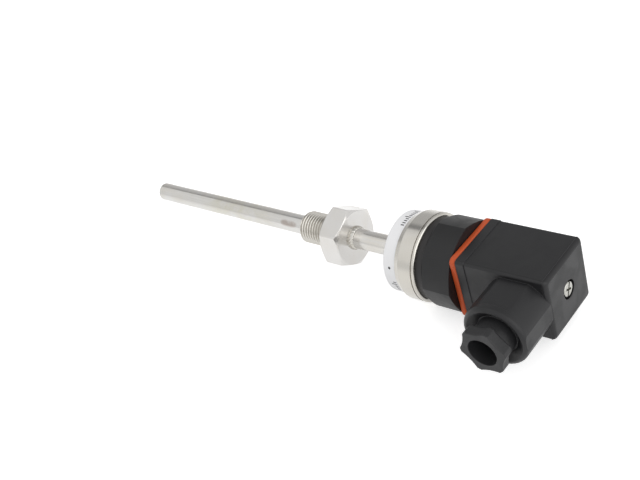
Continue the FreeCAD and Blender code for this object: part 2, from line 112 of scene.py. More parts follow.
def math_node(tree, operation, first, second=None, clamp=False):
    """A Math node: each input is a number or a socket. Returns its output."""
    node = add_node(tree, "ShaderNodeMath", operation=operation, use_clamp=clamp)
    for socket, value in zip(node.inputs, (first, second)):
        if value is None:
            continue
        if isinstance(value, (int, float)):
            socket.default_value = value
        else:
            tree.links.new(value, socket)
    return node.outputs[0]


def smooth_step(tree, value, low, high):
    """0 at low, 1 at high, and a smooth rise between them. low may be the larger number."""
    node = add_node(tree, "ShaderNodeMapRange", interpolation_type="SMOOTHSTEP")
    node.inputs["From Min"].default_value = low
    node.inputs["From Max"].default_value = high
    tree.links.new(value, node.inputs["Value"])
    return node.outputs["Result"]


print("helpers: a node, a sum, a smooth step")

# %% [markdown]
# ## Where a point lies
# Most of this sensor is round about one axis, X. The place of a mark is then two numbers: the
# station along the axis, and the angle about it. An unwrapped picture could carry the marks too, but
# the object's own coordinates need no unwrapping. The angle jumps from 180 to -180 degrees towards
# -Y, so no mark is laid across that line.

# %% Station and angle
def object_parts(tree):
    """The coordinates of a point in the object's own frame, by name. X runs along the axis."""
    parts = add_node(tree, "ShaderNodeSeparateXYZ")
    tree.links.new(add_node(tree, "ShaderNodeTexCoord").outputs["Object"], parts.inputs[0])
    return parts.outputs


def axis_angle(tree, parts):
    """The angle about the axis, 0 towards +Y and a right angle towards +Z."""
    return math_node(tree, "ARCTAN2", parts["Z"], parts["Y"])


print("helpers: station along the axis and angle about it")

# %% [markdown]
# ## Effects that several finishes share
# Each of these effects could be built anew in every material. A node group is built once instead, and
# placed in each material with its own values. Five are needed here. Turned metal carries fine rings
# about the axis, because the tool's point runs round it. Drawn tube carries faint streaks along it.
# Every edge is a little rounded and catches light, which a Bevel node gives without any extra mesh.
# The same group gives a mask of the edges, on which the materials paint a paler colour as a
# highlight. Its radius is an input, because turned metal has finer edges than moulded plastic.
# Handling leaves soft smudges, seen mostly as a change of gloss. Moulded plastic has the fine grain
# of its mould.

# %% Node groups
def new_group(name, inputs, outputs):
    """An empty shader node group. inputs are (name, default) pairs, outputs (name, kind) pairs."""
    tree = bpy.data.node_groups.new(name, "ShaderNodeTree")
    for socket_name, default in inputs:
        socket = tree.interface.new_socket(socket_name, in_out="INPUT", socket_type="NodeSocketFloat")
        socket.default_value = default
    for socket_name, kind in outputs:
        tree.interface.new_socket(socket_name, in_out="OUTPUT", socket_type="NodeSocket" + kind)
    start = add_node(tree, "NodeGroupInput")
    end = add_node(tree, "NodeGroupOutput")
    return tree, start.outputs, end.inputs


def place_group(tree, group, **values):
    """A group placed in a material with its own values. Returns the group's outputs."""
    node = add_node(tree, "ShaderNodeGroup", node_tree=group)
    for name, value in values.items():
        node.inputs[name.replace("_", " ")].default_value = value
    return node.outputs


print("helpers: a new group, a group in its place")

# %% Turned rings
ring_detail = 4.0
ring_streak_span = (0.35, 0.65)

turned_rings, ring_in, ring_out = new_group(
    "turned_rings", [("Rings per metre", 6000.0)], [("Height", "Float"), ("Streak", "Float")])
ring_parts = object_parts(turned_rings)
ring_y_squared = math_node(turned_rings, "MULTIPLY", ring_parts["Y"], ring_parts["Y"])
ring_z_squared = math_node(turned_rings, "MULTIPLY", ring_parts["Z"], ring_parts["Z"])
ring_radius = math_node(
    turned_rings, "SQRT", math_node(turned_rings, "ADD", ring_y_squared, ring_z_squared))
ring_way = math_node(turned_rings, "ADD", ring_parts["X"], ring_radius)
ring_count = math_node(turned_rings, "MULTIPLY", ring_way, ring_in["Rings per metre"])
ring_noise = add_node(turned_rings, "ShaderNodeTexNoise", noise_dimensions="1D")
ring_noise.inputs["Scale"].default_value = 1.0
ring_noise.inputs["Detail"].default_value = ring_detail
turned_rings.links.new(ring_count, ring_noise.inputs["W"])
ring_streak = smooth_step(turned_rings, ring_noise.outputs["Fac"], *ring_streak_span)
turned_rings.links.new(ring_noise.outputs["Fac"], ring_out["Height"])
turned_rings.links.new(ring_streak, ring_out["Streak"])
print("group:", turned_rings.name)

# %% Drawn streaks
streak_squeeze = (0.012, 1.0, 1.0)
streak_detail = 3.0
streak_span = (0.4, 0.7)

drawn_streaks, streak_in, streak_out = new_group(
    "drawn_streaks", [("Streaks per metre", 4000.0)], [("Height", "Float"), ("Streak", "Float")])
streak_place = add_node(drawn_streaks, "ShaderNodeTexCoord").outputs["Object"]
streak_mapping = add_node(drawn_streaks, "ShaderNodeMapping")
streak_mapping.inputs["Scale"].default_value = streak_squeeze
drawn_streaks.links.new(streak_place, streak_mapping.inputs["Vector"])
streak_noise = add_node(drawn_streaks, "ShaderNodeTexNoise")
streak_noise.inputs["Detail"].default_value = streak_detail
drawn_streaks.links.new(streak_mapping.outputs["Vector"], streak_noise.inputs["Vector"])
drawn_streaks.links.new(streak_in["Streaks per metre"], streak_noise.inputs["Scale"])
streak_mask = smooth_step(drawn_streaks, streak_noise.outputs["Fac"], *streak_span)
drawn_streaks.links.new(streak_noise.outputs["Fac"], streak_out["Height"])
drawn_streaks.links.new(streak_mask, streak_out["Streak"])
print("group:", drawn_streaks.name)

# %% Edge light
fine_edge = 0.00028
edge_samples = 6

edge_light, edge_in, edge_out = new_group(
    "edge_light", [("Sharpness", 3.0), ("Radius", fine_edge)], [("Edge", "Float"), ("Normal", "Vector")])
edge_bevel = add_node(edge_light, "ShaderNodeBevel", samples=edge_samples)
edge_light.links.new(edge_in["Radius"], edge_bevel.inputs["Radius"])
edge_true = add_node(edge_light, "ShaderNodeNewGeometry").outputs["Normal"]
edge_dot = add_node(edge_light, "ShaderNodeVectorMath", operation="DOT_PRODUCT")
edge_light.links.new(edge_bevel.outputs["Normal"], edge_dot.inputs[0])
edge_light.links.new(edge_true, edge_dot.inputs[1])
edge_bend = math_node(edge_light, "SUBTRACT", 1.0, edge_dot.outputs["Value"])
edge_mask = math_node(edge_light, "MULTIPLY", edge_bend, edge_in["Sharpness"], clamp=True)
edge_light.links.new(edge_mask, edge_out["Edge"])
edge_light.links.new(edge_bevel.outputs["Normal"], edge_out["Normal"])
print("group:", edge_light.name)

# %% Smudges
smudge_detail = 5.0
smudge_distortion = 0.6
smudge_mask_span = (0.38, 0.66)

smudges, smudge_in, smudge_out = new_group(
    "smudges", [("Size per metre", 90.0), ("Low", 0.3), ("High", 0.4)],
    [("Mask", "Float"), ("Roughness", "Float")])
smudge_place = add_node(smudges, "ShaderNodeTexCoord").outputs["Object"]
smudge_noise = add_node(smudges, "ShaderNodeTexNoise")
smudge_noise.inputs["Detail"].default_value = smudge_detail
smudge_noise.inputs["Distortion"].default_value = smudge_distortion
smudges.links.new(smudge_place, smudge_noise.inputs["Vector"])
smudges.links.new(smudge_in["Size per metre"], smudge_noise.inputs["Scale"])
smudge_mask = smooth_step(smudges, smudge_noise.outputs["Fac"], *smudge_mask_span)
smudge_span = math_node(smudges, "SUBTRACT", smudge_in["High"], smudge_in["Low"])
smudge_part = math_node(smudges, "MULTIPLY", smudge_mask, smudge_span)
smudge_rough = math_node(smudges, "ADD", smudge_part, smudge_in["Low"])
smudges.links.new(smudge_mask, smudge_out["Mask"])
smudges.links.new(smudge_rough, smudge_out["Roughness"])
print("group:", smudges.name)

# %% Moulded grain
grain_detail = 4.0
grain_coarseness = 0.7
grain_speck_span = (0.52, 0.72)

moulded_grain, grain_in, grain_out = new_group(
    "moulded_grain", [("Grains per metre", 2600.0)], [("Height", "Float"), ("Speck", "Float")])
grain_place = add_node(moulded_grain, "ShaderNodeTexCoord").outputs["Object"]
grain_noise = add_node(moulded_grain, "ShaderNodeTexNoise")
grain_noise.inputs["Detail"].default_value = grain_detail
grain_noise.inputs["Roughness"].default_value = grain_coarseness
moulded_grain.links.new(grain_place, grain_noise.inputs["Vector"])
moulded_grain.links.new(grain_in["Grains per metre"], grain_noise.inputs["Scale"])
grain_speck = smooth_step(moulded_grain, grain_noise.outputs["Fac"], *grain_speck_span)
moulded_grain.links.new(grain_noise.outputs["Fac"], grain_out["Height"])
moulded_grain.links.new(grain_speck, grain_out["Speck"])
print("group:", moulded_grain.name)

# %% [markdown]
# ## The steel finishes
# All the steel is the same stainless kind, and what differs is how it was worked. One plain metal
# would show none of that. The tube is drawn, so its streaks run along it. The hexagon, the stud and
# the head are turned, so their lines run round. One function makes all of these finishes: the base
# colour is what the metal reflects face-on, the marks darken it a little and bend the normal, a paler
# colour along the edges is a painted highlight, and the smudges change the roughness. Numbers that
# are the same all over stay on the shader itself.

# %% Starting a material
materials = {}


def new_material(name, **principled):
    """A material with its shader's own numbers set. Returns its tree and its shader node."""
    material = bpy.data.materials.new(name)
    material.use_nodes = True
    shader = material.node_tree.nodes["Principled BSDF"]
    for socket_name, value in principled.items():
        socket = shader.inputs[socket_name.replace("_", " ")]
        socket.default_value = (*value, 1.0) if isinstance(value, tuple) else value
    materials[name] = material
    return material.node_tree, shader


def mix_colours(tree, mask, first, second):
    """The first colour where a mask is 0, the second where it is 1: three numbers or a socket each."""
    node = add_node(tree, "ShaderNodeMix", data_type="RGBA")
    tree.links.new(mask, node.inputs[0])
    for socket, colour in ((node.inputs[6], first), (node.inputs[7], second)):
        if isinstance(colour, tuple):
            socket.default_value = (*colour, 1.0)
        else:
            tree.links.new(colour, socket)
    return node.outputs[2]


def add_bump(tree, shader, height, strength, distance, normal):
    """Raise a height on a shader's normal, on top of the rounded edges' normal."""
    bump = add_node(tree, "ShaderNodeBump")
    bump.inputs["Strength"].default_value = strength
    bump.inputs["Distance"].default_value = distance
    tree.links.new(height, bump.inputs["Height"])
    tree.links.new(normal, bump.inputs["Normal"])
    tree.links.new(bump.outputs["Normal"], shader.inputs["Normal"])


print("helpers: a material, a mix of colours, a bump")

# %% Steel materials
turned_edge = 0.00013
# The paler colour painted on the edges of the steel as a highlight.
edge_highlight_paint = (0.86, 0.85, 0.83)
mark_shade = 0.93
mark_height = 0.00002
steel_grey = (0.655, 0.646, 0.628)
steel_warm = (0.635, 0.611, 0.566)


def steel(name, colour, warm, marks, depth, low, high, smudge_size, **marks_scale):
    """Metal with marks from its working, smudges from low to high roughness, and a painted highlight on
    its edges.
    """
    tree, shader = new_material(name, Metallic=1.0)
    smudge = place_group(tree, smudges, Size_per_metre=smudge_size, Low=low, High=high)
    edge = place_group(tree, edge_light, Sharpness=1.0, Radius=turned_edge)
    mark = place_group(tree, marks, **marks_scale)
    tone = mix_colours(tree, smudge["Mask"], colour, warm)
    streaked = mix_colours(tree, mark["Streak"], tone, tuple(mark_shade * part for part in colour))
    # A paler colour along the edges: a painted highlight.
    bright = mix_colours(tree, edge["Edge"], streaked, edge_highlight_paint)
    tree.links.new(bright, shader.inputs["Base Color"])
    tree.links.new(smudge["Roughness"], shader.inputs["Roughness"])
    add_bump(tree, shader, mark["Height"], depth, mark_height, edge["Normal"])
    return tree, shader


probe_tree, probe_shader = steel(
    "probe_steel", steel_grey, steel_warm, drawn_streaks,
    depth=0.25, low=0.17, high=0.27, smudge_size=70.0, Streaks_per_metre=3800.0)
stud_tree, stud_shader = steel(
    "turned_steel", (0.68, 0.668, 0.652), (0.655, 0.634, 0.595), turned_rings,
    depth=0.18, low=0.15, high=0.24, smudge_size=110.0)
steel("head_steel", (0.59, 0.572, 0.535), (0.56, 0.532, 0.475), turned_rings,
      depth=0.10, low=0.15, high=0.24, smudge_size=60.0, Rings_per_metre=9000.0)
steel("screw_steel", (0.54, 0.535, 0.50), (0.46, 0.45, 0.40), turned_rings,
      depth=0.15, low=0.20, high=0.32, smudge_size=300.0)
steel("weld", (0.60, 0.585, 0.545), (0.50, 0.465, 0.40), turned_rings,
      depth=0.05, low=0.16, high=0.26, smudge_size=500.0, Rings_per_metre=2500.0)
print("steels:", sorted(materials))

# %% [markdown]
# ## A duller thread
# The thread on the real stud looks a shade darker and less glossy than the hexagon beside it. It could
# be a second material, but stud and hexagon are one piece with one finish. A mask along the axis
# darkens the colour and raises the roughness on the thread alone.

# %% Thread finish
thread_colour = (0.585, 0.565, 0.525)
thread_roughness = 0.05
thread_fade = 0.0006


def add_tint(tree, shader, mask, colour):
    """Colour a surface further where a mask is 1."""
    below = shader.inputs["Base Color"].links[0].from_socket
    tree.links.new(mix_colours(tree, mask, below, colour), shader.inputs["Base Color"])


on_thread = smooth_step(stud_tree, object_parts(stud_tree)["X"], 0.0, -thread_fade)
add_tint(stud_tree, stud_shader, on_thread, thread_colour)
stud_roughness = stud_shader.inputs["Roughness"].links[0].from_socket
added_roughness = math_node(stud_tree, "MULTIPLY", on_thread, thread_roughness)
stud_tree.links.new(
    math_node(stud_tree, "ADD", stud_roughness, added_roughness), stud_shader.inputs["Roughness"])
print("duller thread on:", materials["turned_steel"].name)

# %% [markdown]
# ## Heat and handling on the probe
# The tube isn't evenly grey. It has faint yellow-green clouds along its length and one brown patch
# near the stud, where it was hot. Both are a mask along the axis, broken up by noise, and the brown
# one is also held to one side by the angle. A painted image would do it too, but a mask of a few
# numbers keeps its sharpness at any size.

# %% Clouds on the probe
cloud_start_x = -0.085
cloud_end_x = -0.030
cloud_fade = 0.02
cloud_noise_size = 170.0
cloud_colour = (0.59, 0.57, 0.485)
cloud_strength = 0.6

tube_parts = object_parts(probe_tree)
tube_x = tube_parts["X"]
tube_noise = place_group(probe_tree, smudges, Size_per_metre=cloud_noise_size)
past_start = smooth_step(probe_tree, tube_x, cloud_start_x, cloud_start_x + cloud_fade)
before_end = smooth_step(probe_tree, tube_x, cloud_end_x, cloud_end_x - cloud_fade)
cloud_mask = math_node(probe_tree, "MULTIPLY", past_start, before_end)
cloud_mask = math_node(probe_tree, "MULTIPLY", cloud_mask, tube_noise["Mask"])
cloud_mask = math_node(probe_tree, "MULTIPLY", cloud_mask, cloud_strength)
add_tint(probe_tree, probe_shader, cloud_mask, cloud_colour)
print("clouds on:", materials["probe_steel"].name)

# %% Brown patch on the probe
patch_x = -0.0235
patch_angle = math.radians(148)
patch_half_length = 0.0050
patch_half_angle = math.radians(24)
patch_squareness = 3.5
patch_edge = (1.0, 0.15)
patch_breakup = (-0.6, 0.7)
patch_colour = (0.37, 0.315, 0.28)
patch_strength = 0.75

off_centre = math_node(probe_tree, "SUBTRACT", tube_x, patch_x)
along_patch = math_node(probe_tree, "DIVIDE", off_centre, patch_half_length)
along_patch = math_node(
    probe_tree, "POWER", math_node(probe_tree, "ABSOLUTE", along_patch), patch_squareness)
off_angle = math_node(probe_tree, "SUBTRACT", axis_angle(probe_tree, tube_parts), patch_angle)
round_patch = math_node(probe_tree, "DIVIDE", off_angle, patch_half_angle)
round_patch = math_node(probe_tree, "MULTIPLY", round_patch, round_patch)
patch_way = math_node(probe_tree, "ADD", along_patch, round_patch)
patch_mask = math_node(
    probe_tree, "MULTIPLY", smooth_step(probe_tree, patch_way, *patch_edge),
    smooth_step(probe_tree, tube_noise["Mask"], *patch_breakup))
patch_mask = math_node(probe_tree, "MULTIPLY", patch_mask, patch_strength)
add_tint(probe_tree, probe_shader, patch_mask, patch_colour)
print("brown patch on:", materials["probe_steel"].name)

# %% [markdown]
# ## Black plastic and rubber
# The plug, the base and the nut are glass-filled nylon: nearly black, with a fine grain that scatters
# the light, and slightly paler on the edges, partly from wear and partly as a painted highlight. One
# black for all of them would run the pieces into each other, so each has its own shade and gloss. The
# gasket is silicone rubber, dull orange with a soft shine. The ceramic, the board and its chips use
# the same function, because they too are fine-grained and not metal.

# %% Plastic and rubber materials
moulded_edge = 0.0003
# How sharply the edges take their paler colour, which is partly wear and partly a painted highlight.
edge_wear_highlight_contrast = 2.5
grain_height = 0.00006


def plastic(name, colour, edge_wear_and_highlight, low, high, fleck, depth, level=0.5, edge_radius=fine_edge):
    """Moulded plastic or rubber, with flecks fleck times as bright, smudges, and edges paler from wear and
    a painted highlight.
    """
    tree, shader = new_material(name, Specular_IOR_Level=level)
    smudge = place_group(tree, smudges, Size_per_metre=120.0, Low=low, High=high)
    sharpness = edge_wear_highlight_contrast * fine_edge / edge_radius
    edge = place_group(tree, edge_light, Sharpness=sharpness, Radius=edge_radius)
    grain = place_group(tree, moulded_grain)
    toned = mix_colours(tree, grain["Speck"], colour, tuple(min(1.0, part * fleck) for part in colour))
    # Paler edges: partly wear, partly a painted highlight.
    tree.links.new(mix_colours(tree, edge["Edge"], toned, edge_wear_and_highlight), shader.inputs["Base Color"])
    tree.links.new(smudge["Roughness"], shader.inputs["Roughness"])
    add_bump(tree, shader, grain["Height"], depth, grain_height, edge["Normal"])
    return tree, shader


plastic("black_plug", (0.0115, 0.0115, 0.0127), edge_wear_and_highlight=(0.040, 0.040, 0.042),
        low=0.37, high=0.48, fleck=1.35, depth=0.22, level=0.38, edge_radius=moulded_edge)
base_tree, base_shader = plastic(
    "black_base", (0.0125, 0.0125, 0.0132), edge_wear_and_highlight=(0.028, 0.028, 0.029),
    low=0.40, high=0.50, fleck=1.30, depth=0.18, level=0.34)
plastic("black_nut", (0.0180, 0.0180, 0.0192), edge_wear_and_highlight=(0.040, 0.040, 0.042),
        low=0.44, high=0.54, fleck=1.35, depth=0.20, level=0.42)
plastic("insert_plastic", (0.020, 0.020, 0.021), edge_wear_and_highlight=(0.05, 0.05, 0.05),
        low=0.45, high=0.55, fleck=1.3, depth=0.15)
plastic("black_rubber", (0.008, 0.008, 0.008), edge_wear_and_highlight=(0.014, 0.014, 0.014),
        low=0.60, high=0.72, fleck=1.2, depth=0.15, level=0.25)
plastic("gasket_rubber", (0.50, 0.076, 0.017), edge_wear_and_highlight=(0.56, 0.11, 0.030),
        low=0.46, high=0.58, fleck=1.08, depth=0.12, level=0.35)
plastic("board", (0.020, 0.115, 0.050), edge_wear_and_highlight=(0.06, 0.20, 0.10),
        low=0.30, high=0.42, fleck=1.2, depth=0.05)
plastic("chip", (0.018, 0.018, 0.020), edge_wear_and_highlight=(0.05, 0.05, 0.05),
        low=0.42, high=0.52, fleck=1.3, depth=0.10)
plastic("ceramic", (0.80, 0.78, 0.73), edge_wear_and_highlight=(0.86, 0.85, 0.82),
        low=0.45, high=0.60, fleck=0.97, depth=0.10)
print("plastics and steels:", sorted(materials))

# %% [markdown]
# ## The collar of the base
# The base has a round collar in front, which looks a little paler than the flange, and a narrow gap
# behind it that hardly any light gets into. The recess is in the solid, and a painted shade darkens it
# further. The paler collar and the painted shade could be two more materials, but the base is one
# moulding, so they are tints between two stations on the axis.

# %% Collar and gap
collar_length = 0.0025
gap_length = 0.0007
collar_colour = (0.0240, 0.0225, 0.0230)
# The painted shade in the narrow gap behind the collar.
gap_painted_shade = (0.0012, 0.0012, 0.0012)


def within(tree, value, low, high):
    """1 where a value lies between two numbers, and 0 elsewhere."""
    above = math_node(tree, "GREATER_THAN", value, low)
    below = math_node(tree, "LESS_THAN", value, high)
    return math_node(tree, "MULTIPLY", above, below)


collar_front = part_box("housing")[1].x
collar_back = collar_front + collar_length
gap_back = collar_back + gap_length
base_x = object_parts(base_tree)["X"]
add_tint(base_tree, base_shader, within(base_tree, base_x, collar_front, collar_back), collar_colour)
# Painted shade in the gap behind the collar.
add_tint(base_tree, base_shader, within(base_tree, base_x, collar_back, gap_back), gap_painted_shade)
print("collar in mm:", round(1000 * collar_front, 1), "to", round(1000 * collar_back, 1))

# %% [markdown]
# ## The label
# A band of matt white film lies round the head. It carries two plain scales of short ticks, every
# fifth one longer, and one dot. An image could hold them, but it would blur when seen close. Made
# from the station and the angle, each tick is sharp at any size. The angle divided by the pitch
# counts the ticks, and the part after the decimal point tells ink from paper.

# %% Film
paper_white = (0.84, 0.84, 0.85)
paper_fleck = (0.815, 0.815, 0.825)
film_bump = 0.06
film_height = 0.00002

label_tree, label_shader = new_material("label", Specular_IOR_Level=0.35)
label_grain = place_group(label_tree, moulded_grain, Grains_per_metre=5200.0)
label_smudge = place_group(label_tree, smudges, Size_per_metre=140.0, Low=0.5, High=0.62)
label_edge = place_group(label_tree, edge_light, Sharpness=1.5)
paper = mix_colours(label_tree, label_grain["Speck"], paper_white, paper_fleck)
label_tree.links.new(label_smudge["Roughness"], label_shader.inputs["Roughness"])
add_bump(label_tree, label_shader, label_grain["Height"], film_bump, film_height, label_edge["Normal"])
print("film:", materials["label"].name)

# %% Ticks
tick_pitch = math.radians(4.2)
tick_share = 0.42
long_tick_every = 5
short_tick = 0.0014
long_tick = 0.0024
tick_margin = 0.0010
scales = [(math.radians(62), math.radians(104)), (math.radians(-174), math.radians(-152))]

label_low, label_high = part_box("label_band")
label_parts = object_parts(label_tree)
label_x = label_parts["X"]
label_angle = axis_angle(label_tree, label_parts)
tick_end = label_high.x - tick_margin


def ticks(pitch, share, length):
    """A mask of ticks at one pitch: ink on a share of it, and one length along the axis."""
    phase = math_node(label_tree, "FRACT", math_node(label_tree, "DIVIDE", label_angle, pitch))
    on_tick = math_node(label_tree, "LESS_THAN", phase, share)
    return math_node(
        label_tree, "MULTIPLY", on_tick, within(label_tree, label_x, tick_end - length, tick_end))


short_ticks = ticks(tick_pitch, tick_share, short_tick)
long_ticks = ticks(tick_pitch * long_tick_every, tick_share / long_tick_every, long_tick)
in_scale = math_node(
    label_tree, "ADD",
    within(label_tree, label_angle, *scales[0]), within(label_tree, label_angle, *scales[1]))
marks = math_node(
    label_tree, "MULTIPLY", in_scale, math_node(label_tree, "MAXIMUM", short_ticks, long_ticks))
print("label ticks:", [round((end - start) / tick_pitch) for start, end in scales])

# %% Dot and ink
dot_angle = math.radians(165)
dot_radius = 0.00052
ink = (0.025, 0.025, 0.028)


def between(low, high, share):
    """The value that lies a share of the way from low to high."""
    return low + (high - low) * share


dot_along = math_node(label_tree, "SUBTRACT", label_x, between(label_low.x, label_high.x, 0.5))
dot_round = math_node(
    label_tree, "MULTIPLY", math_node(label_tree, "SUBTRACT", label_angle, dot_angle), label_high.z)
dot_way = math_node(
    label_tree, "ADD",
    math_node(label_tree, "MULTIPLY", dot_along, dot_along),
    math_node(label_tree, "MULTIPLY", dot_round, dot_round))
dot = math_node(label_tree, "LESS_THAN", dot_way, dot_radius * dot_radius)
marks = math_node(label_tree, "MAXIMUM", marks, dot)
label_tree.links.new(mix_colours(label_tree, marks, paper, ink), label_shader.inputs["Base Color"])
print("dot radius in mm:", 1000 * dot_radius)

# %% [markdown]
# ## The contact metals
# Inside the sensor and the plug there are a brass bush, plated pins and sockets, and bare leads. The
# bush and the pins come into sight when the plug is pulled. They could borrow the probe's steel, but
# their colours tell them apart, so the function for steel makes them too, with a yellower or paler
# base colour.

# %% Contact metals
steel("brass", (0.72, 0.55, 0.26), (0.66, 0.48, 0.20), turned_rings,
      depth=0.15, low=0.22, high=0.34, smudge_size=200.0, Rings_per_metre=5000.0)
steel("plated_contact", (0.76, 0.755, 0.74), (0.72, 0.70, 0.66), drawn_streaks,
      depth=0.10, low=0.24, high=0.34, smudge_size=260.0)
steel("lead_metal", (0.74, 0.73, 0.71), (0.70, 0.68, 0.64), drawn_streaks,
      depth=0.08, low=0.26, high=0.36, smudge_size=200.0)
print("materials:", len(materials))

# %% [markdown]
# ## Finishes on the solids
# Each solid came in with one material slot, named for its finish. The finishes could be put on piece
# by piece, but a loop that goes by the slot's name can't miss one, and the table of slots and the
# looks stay in step.

# %% Give every solid its finish
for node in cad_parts.values():
    for place in node.material_slots:
        finish = place.material.name.split(".")[0]
        place.material = materials[finish]
print("solids dressed:", len(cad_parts))

# %% [markdown]
# ## Meshes made row by row
# The stud, the head and the weld rings are all rings of points about the probe's axis. A lathe made
# of rows is the simplest way to make them: each row is a station along the outline, each column an
# angle, and the radius may depend on both. A thread is such a surface too, because its groove only
# moves along the axis as the angle grows. The last row joins the first, so the mesh is closed. The
# end of the plug gets the same skin, over rows that are rounded squares.

# %% Row helpers
def skin_rows(name, points, rows, sharp_degrees, body, slot_name, stood_for=None):
    """A closed ring-shaped mesh over rows of points, each row once round the axis."""
    columns = len(points) // rows
    faces = []
    for row in range(rows):
        below = row * columns
        above = (row + 1) % rows * columns
        for column in range(columns):
            beside = (column + 1) % columns
            faces.append((below + column, below + beside, above + beside, above + column))
    mesh = bpy.data.meshes.new(name)
    mesh.from_pydata(points, [], faces)
    mesh.update()
    mesh.polygons.foreach_set("use_smooth", [True] * len(faces))
    mesh.set_sharp_from_angle(angle=math.radians(sharp_degrees))
    mesh.materials.append(materials[slot_name])
    piece = bpy.data.objects.new(name, mesh)
    bpy.context.scene.collection.objects.link(piece)
    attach(piece, body)
    if stood_for is not None:
        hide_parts(stood_for)
    print(name, "faces:", len(faces))


def lathe(name, rows, columns, place_of, sharp_degrees, body, slot_name, stood_for):
    """A closed ring-shaped mesh. place_of(row, angle) gives (x, radius) in metres."""
    points = []
    for row in range(rows):
        for column in range(columns):
            angle = 2 * math.pi * column / columns
            x, radius = place_of(row, angle)
            points.append((x, radius * math.cos(angle), radius * math.sin(angle)))
    skin_rows(name, points, rows, sharp_degrees, body, slot_name, stood_for)


print("helpers: a skin over rows, a lathe")

# %% [markdown]
# ## The threaded stud and its hexagon
# The stud has a G 1/4 pipe thread: 19 turns to the inch, flanks at 55 degrees, and rounded crests and
# roots. It starts in a chamfer at the tip and runs out just before the hexagon. The hexagon's corners
# are turned off by a cone at both faces. A bump in the material could draw the thread, but the
# stud's outline would stay straight. Stud and hexagon are one turned piece, so this is one mesh: its
# rows go up the end face, along the thread, over the hexagon and back through the bore.

# %% Thread
stud_low, stud_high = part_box("process_connection")
thread_pitch = 0.0254 / 19
thread_radius = 0.00658
thread_depth = 0.000856
crest_share = 0.08
flank_share = 0.84
thread_roundness = 0.6
stud_chamfer = 0.001
run_out = (0.0014, 0.0004)


def rise(value, low, high):
    """0 below low, 1 above high, and a smooth rise between them."""
    share = min(1.0, max(0.0, (value - low) / (high - low)))
    return share * share * (3 - 2 * share)


def thread_drop(x, angle):
    """How far the groove lies below the crest at a place on the thread."""
    phase = (x / thread_pitch - angle / (2 * math.pi)) % 1.0
    slant = abs(2 * phase - 1)
    flank = min(1.0, max(0.0, (slant - crest_share) / flank_share))
    rounded = 0.5 - 0.5 * math.cos(math.pi * flank)
    return thread_depth * (thread_roundness * rounded + (1 - thread_roundness) * slant)


def stud_thread(x, angle):
    """Place on the thread at a station, with its chamfered start and its run-out."""
    full = 1.0 - rise(x, -run_out[0], -run_out[1])
    radius = thread_radius - full * thread_drop(x, angle)
    return x, min(radius, thread_radius - stud_chamfer + (x - stud_low.x))


print("thread turns:", round(-stud_low.x / thread_pitch, 1))

# %% Hexagon
hex_flats = 0.022
hex_turn = math.radians(26.5)
hex_face_radius = 0.0107
hex_cone_slope = math.tan(math.radians(30))
hex_back = stud_high.x


def hex_radius(angle):
    """Distance from the axis to the hexagon's flat or corner at an angle."""
    step = math.pi / 3
    from_flat = (angle - hex_turn) % step - step / 2
    return hex_flats / 2 / math.cos(from_flat)


def hex_cone(angle):
    """How far behind its face the cone meets the hexagon's side at an angle."""
    return (hex_radius(angle) - hex_face_radius) * hex_cone_slope


print("hexagon length in mm:", round(1000 * hex_back, 1))

# %% Threaded stud with hexagon
bore_radius = 0.004
stud_columns = 240
rows_per_turn = 12
turned_sharp = 24.0

thread_rows = int(-stud_low.x / thread_pitch * rows_per_turn)


def stud_stations():
    """The rows' places in order, each a function of the angle."""
    stations = [lambda angle: (stud_low.x, bore_radius)]
    for row in range(thread_rows + 1):
        x = between(stud_low.x, 0.0, row / thread_rows)
        stations.append(lambda angle, x=x: stud_thread(x, angle))
    stations.append(lambda angle: (0.0, hex_face_radius))
    stations.append(lambda angle: (hex_cone(angle), hex_radius(angle)))
    stations.append(lambda angle: (hex_back - hex_cone(angle), hex_radius(angle)))
    stations.append(lambda angle: (hex_back, hex_face_radius))
    stations.append(lambda angle: (hex_back, bore_radius))
    return stations


stud_rows = stud_stations()
lathe("threaded_connection", len(stud_rows), stud_columns, lambda row, angle: stud_rows[row](angle),
      turned_sharp, "sensor", "turned_steel", "process_connection")

# %% [markdown]
# ## The head with its rolled lip
# The head is a turned cup. Its rear edge is rolled over, and that round lip is the brightest line on
# the real sensor, with a fine groove in front of it. A bevelled edge could stand for it, but a round
# edge only looks round when several rows of faces follow its arc, and a lathe outline can have as many
# as it needs. The rest of the outline is the cup's own: the front face, the seat of the label, the
# shoulder, and the bore inside.

# %% Outline of the head
cup_low, cup_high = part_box("housing")
cup_radius = cup_high.z
label_radius = label_high.z
label_thickness = 0.00025
seat_radius = label_radius - label_thickness
front_chamfer = 0.00035
shoulder_height = 0.00095
shoulder_length = 0.0021
cup_wall = 0.0015
cup_floor = 0.0022
cup_bore_radius = label_radius - cup_wall
cup_floor_x = cup_low.x + cup_floor
lip_roll = 0.00100
lip_rows = 8
groove_width = 0.00050
groove_depth = 0.00060
lip_start = cup_high.x - lip_roll

cup_outline = [
    (cup_low.x, bore_radius),
    (cup_low.x, label_radius - front_chamfer),
    (label_low.x, label_radius),
    (label_low.x, seat_radius),
    (label_high.x, seat_radius),
    (label_high.x, cup_radius - shoulder_height),
    (label_high.x + shoulder_length, cup_radius),
    (lip_start - groove_width, cup_radius),
    (lip_start - groove_width, cup_radius - groove_depth),
    (lip_start, cup_radius - groove_depth),
]
for lip_row in range(lip_rows + 1):
    lip_turn = math.pi / 2 * lip_row / lip_rows
    cup_outline.append(
        (lip_start + lip_roll * math.sin(lip_turn), cup_radius - lip_roll * (1 - math.cos(lip_turn))))
cup_outline += [
    (cup_high.x, cup_bore_radius),
    (cup_floor_x, cup_bore_radius),
    (cup_floor_x, bore_radius),
]
print("outline points:", len(cup_outline))

# %% Head cup
cup_columns = 180

